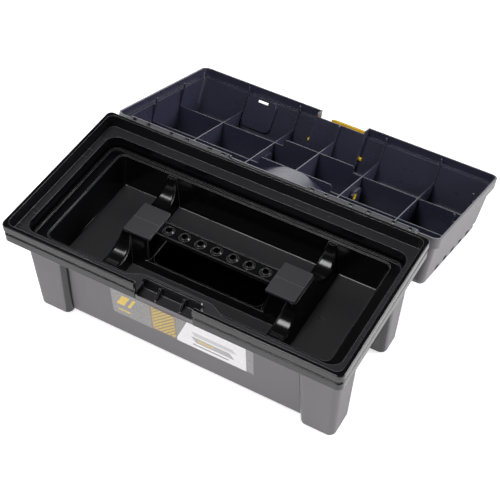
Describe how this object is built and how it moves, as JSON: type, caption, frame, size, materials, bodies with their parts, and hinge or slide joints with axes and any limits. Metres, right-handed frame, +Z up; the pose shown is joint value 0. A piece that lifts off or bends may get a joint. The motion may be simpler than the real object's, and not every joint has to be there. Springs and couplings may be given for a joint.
{
  "type": "tool box with tray",
  "caption": "Open plastic tool box with a lift-out tray, a lid divided into compartments, a front latch and a fold-down carry handle.",
  "frame": {"origin": "on the floor, under the middle of the open box's footprint, close to the hinge line", "axes": "+X along the box to its right end, +Y from the front to the open lid at the back, +Z up"},
  "size_m": [0.4676, 0.5124, 0.164],
  "materials": {
    "base_plastic": "fine-grained charcoal moulding",
    "lid_plastic": "fine-grained charcoal moulding",
    "tray_plastic": "satin black moulding",
    "yellow_plastic": "satin yellow moulding",
    "rod_steel": "plain drawn wire",
    "label": "glossy printed film"
  },
  "bodies": {
    "base": {"base_tub": "base_plastic", "front_label": "label"},
    "lid": {"lid_shell": "lid_plastic", "lid_divider_1": "lid_plastic", "lid_divider_2": "lid_plastic", "lid_divider_3": "lid_plastic", "lid_divider_4": "lid_plastic", "lid_divider_5": "lid_plastic", "lid_partition_front": "lid_plastic", "lid_partition_rear": "lid_plastic", "hinge_rod_left": "rod_steel", "hinge_rod_right": "rod_steel"},
    "tray": {"tray_pan": "tray_plastic", "tray_handle": "tray_plastic"},
    "latch": {"latch": "yellow_plastic"},
    "handle": {"carry_handle": "yellow_plastic"}
  },
  "joints": [
    {"name": "lid_hinge", "type": "hinge", "parent": "base", "child": "lid", "pos_m": [0, -0.00825, 0.1498], "axis": [1, 0, 0], "range_deg": [0, 200.5]},
    {"name": "tray_lift", "type": "slide", "parent": "base", "child": "tray", "axis": [0, 0, 1], "range_m": [0, 0.23]},
    {"name": "latch_flip", "type": "hinge", "parent": "lid", "child": "latch", "pos_m": [0, 0.19301, 0.02705], "axis": [1, 0, 0], "range_deg": [0, 69]},
    {"name": "handle_fold", "type": "hinge", "parent": "lid", "child": "handle", "pos_m": [0, 0.10263, 0.04802], "axis": [1, 0, 0], "range_deg": [0, 90]}
  ]
}
